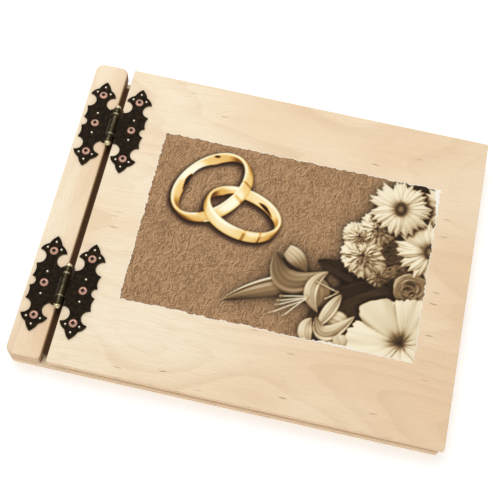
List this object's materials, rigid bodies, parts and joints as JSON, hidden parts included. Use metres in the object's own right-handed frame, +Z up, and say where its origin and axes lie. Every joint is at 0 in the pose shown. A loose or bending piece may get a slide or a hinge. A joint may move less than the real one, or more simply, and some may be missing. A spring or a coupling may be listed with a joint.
{
  "type": "wedding guest book",
  "caption": "Wedding guest book with plywood covers, a bound page stack, a printed panel of rings and flowers, and a cover that opens on two ornamental hinges.",
  "frame": {"origin": "middle of the closed book's outline, on the surface it lies on", "axes": "+X from the spine to the fore-edge, +Y from the tail edge to the head edge, +Z up out of the front cover"},
  "size_m": [0.305, 0.239, 0.0235],
  "materials": {
    "birch_cover": "bare sanded birch plywood",
    "birch_strip": "bare sanded birch",
    "birch_board": "bare sanded birch plywood",
    "print_paper": "sepia print on torn-edged textured paper",
    "kraft_card": "brown kraft card",
    "page_paper": "cream uncoated paper",
    "hinge_black_bronze": "antique bronze, brassy at the worn edges",
    "hinge_brass": "aged brass",
    "screw_copper": "copper plated steel",
    "zinc_steel": "zinc plated steel",
    "insert_brass": "plain turned brass"
  },
  "bodies": {
    "base": {"back_board": "birch_board", "spine_strip": "birch_strip", "back_fly_leaf": "kraft_card", "rear_pages": "page_paper", "front_pages_margin": "page_paper", "fly_leaf_margin": "kraft_card", "binding_screws": "zinc_steel", "binding_inserts": "insert_brass", "tail_hinge_spine_leaf": "hinge_black_bronze", "tail_hinge_pin": "hinge_brass", "tail_hinge_pin_cap": "hinge_brass", "tail_hinge_spine_screws": "screw_copper", "head_hinge_spine_leaf": "hinge_black_bronze", "head_hinge_pin": "hinge_brass", "head_hinge_pin_cap": "hinge_brass", "head_hinge_spine_screws": "screw_copper"},
    "cover": {"front_cover": "birch_cover", "cover_print": "print_paper", "tail_hinge_cover_leaf": "hinge_black_bronze", "tail_hinge_cover_screws": "screw_copper", "head_hinge_cover_leaf": "hinge_black_bronze", "head_hinge_cover_screws": "screw_copper"},
    "front_pages": {"front_pages": "page_paper"},
    "fly_leaf": {"fly_leaf": "kraft_card"}
  },
  "joints": [
    {"name": "cover_hinge", "type": "hinge", "parent": "base", "child": "cover", "pos_m": [-0.1265, 0, 0.02075], "axis": [0, -1, 0], "range_deg": [0, 180]},
    {"name": "front_pages_turn", "type": "hinge", "parent": "base", "child": "front_pages", "pos_m": [-0.116, 0, 0.0107], "axis": [0, -1, 0], "range_deg": [0, 100.01]},
    {"name": "fly_leaf_turn", "type": "hinge", "parent": "base", "child": "fly_leaf", "pos_m": [-0.1178, 0, 0.01167], "axis": [0, -1, 0], "range_deg": [0, 117.01]}
  ],
  "couplings": [
    {"joint": "front_pages_turn", "follows": "cover_hinge", "ratio": 0.55556},
    {"joint": "fly_leaf_turn", "follows": "cover_hinge", "ratio": 0.65}
  ]
}
